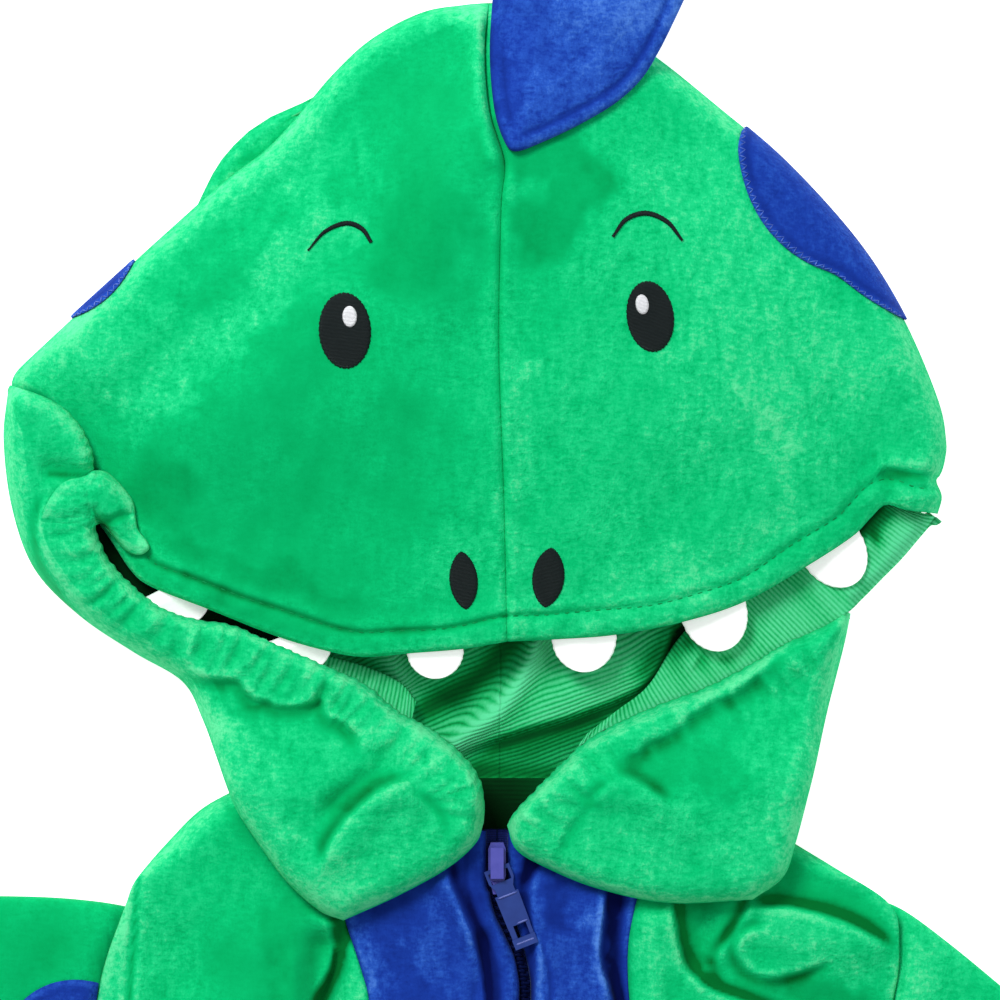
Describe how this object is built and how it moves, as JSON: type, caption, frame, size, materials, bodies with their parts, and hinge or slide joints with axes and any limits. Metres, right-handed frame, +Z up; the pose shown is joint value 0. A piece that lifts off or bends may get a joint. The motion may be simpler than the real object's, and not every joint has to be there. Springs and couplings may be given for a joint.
{
  "type": "dinosaur costume",
  "caption": "Toddler's hooded plush dinosaur romper laid flat, with a zipped blue belly, sleeves, legs, and a hood with an embroidered face, a crest, felt teeth and a gathered jaw.",
  "frame": {"origin": "on the underside of the body's back, on the table, midway between its sides and level with the top of the zip", "axes": "+Y from the legs to the crown of the hood, +X to the viewer's right, +Z up from the table"},
  "size_m": [0.638, 0.8524, 0.0298],
  "materials": {
    "green_plush": "short pile plush, right side out",
    "green_ribbed": "the plush's ribbed knitted wrong side",
    "blue_plush": "short pile plush",
    "white_felt": "felt",
    "black_thread": "satin stitched embroidery",
    "white_thread": "satin stitched embroidery",
    "zip_cloth": "woven tape",
    "zip_paint": "gloss paint on the slider, moulded teeth"
  },
  "bodies": {
    "costume": {"face_left": "green_plush", "face_right": "green_plush", "cheek_left": "green_plush", "cheek_right": "green_plush", "casing_corner_left": "green_plush", "front_left": "green_plush", "front_right": "green_plush", "back": "green_plush", "sleeve_left": "green_plush", "sleeve_right": "green_plush", "facing_left": "green_ribbed", "facing_right": "green_ribbed", "hood_back_left": "green_ribbed", "hood_back_right": "green_ribbed", "belly_left": "blue_plush", "belly_right": "blue_plush", "fin": "blue_plush", "spot_hood_left": "blue_plush", "spot_hood_right": "blue_plush", "spot_sleeve_left": "blue_plush", "tooth_1": "white_felt", "tooth_2": "white_felt", "tooth_3": "white_felt", "tooth_4": "white_felt", "tooth_5": "white_felt", "tooth_6": "white_felt", "eye_left": "black_thread", "eye_right": "black_thread", "brow_left": "black_thread", "brow_right": "black_thread", "nostril_left": "black_thread", "nostril_right": "black_thread", "glint_left": "white_thread", "glint_right": "white_thread", "zip_tape_left": "zip_cloth", "zip_tape_right": "zip_cloth", "zip_chain": "zip_paint", "zip_slider": "zip_paint"},
    "pull_tab": {"zip_pull_tab": "zip_paint"}
  },
  "joints": [
    {"name": "pull_tab_hinge", "type": "hinge", "parent": "costume", "child": "pull_tab", "pos_m": [-0.0009, -0.0056, 0.0168], "axis": [-0.9311, -0.3649, 0], "range_deg": [0, 120]}
  ]
}
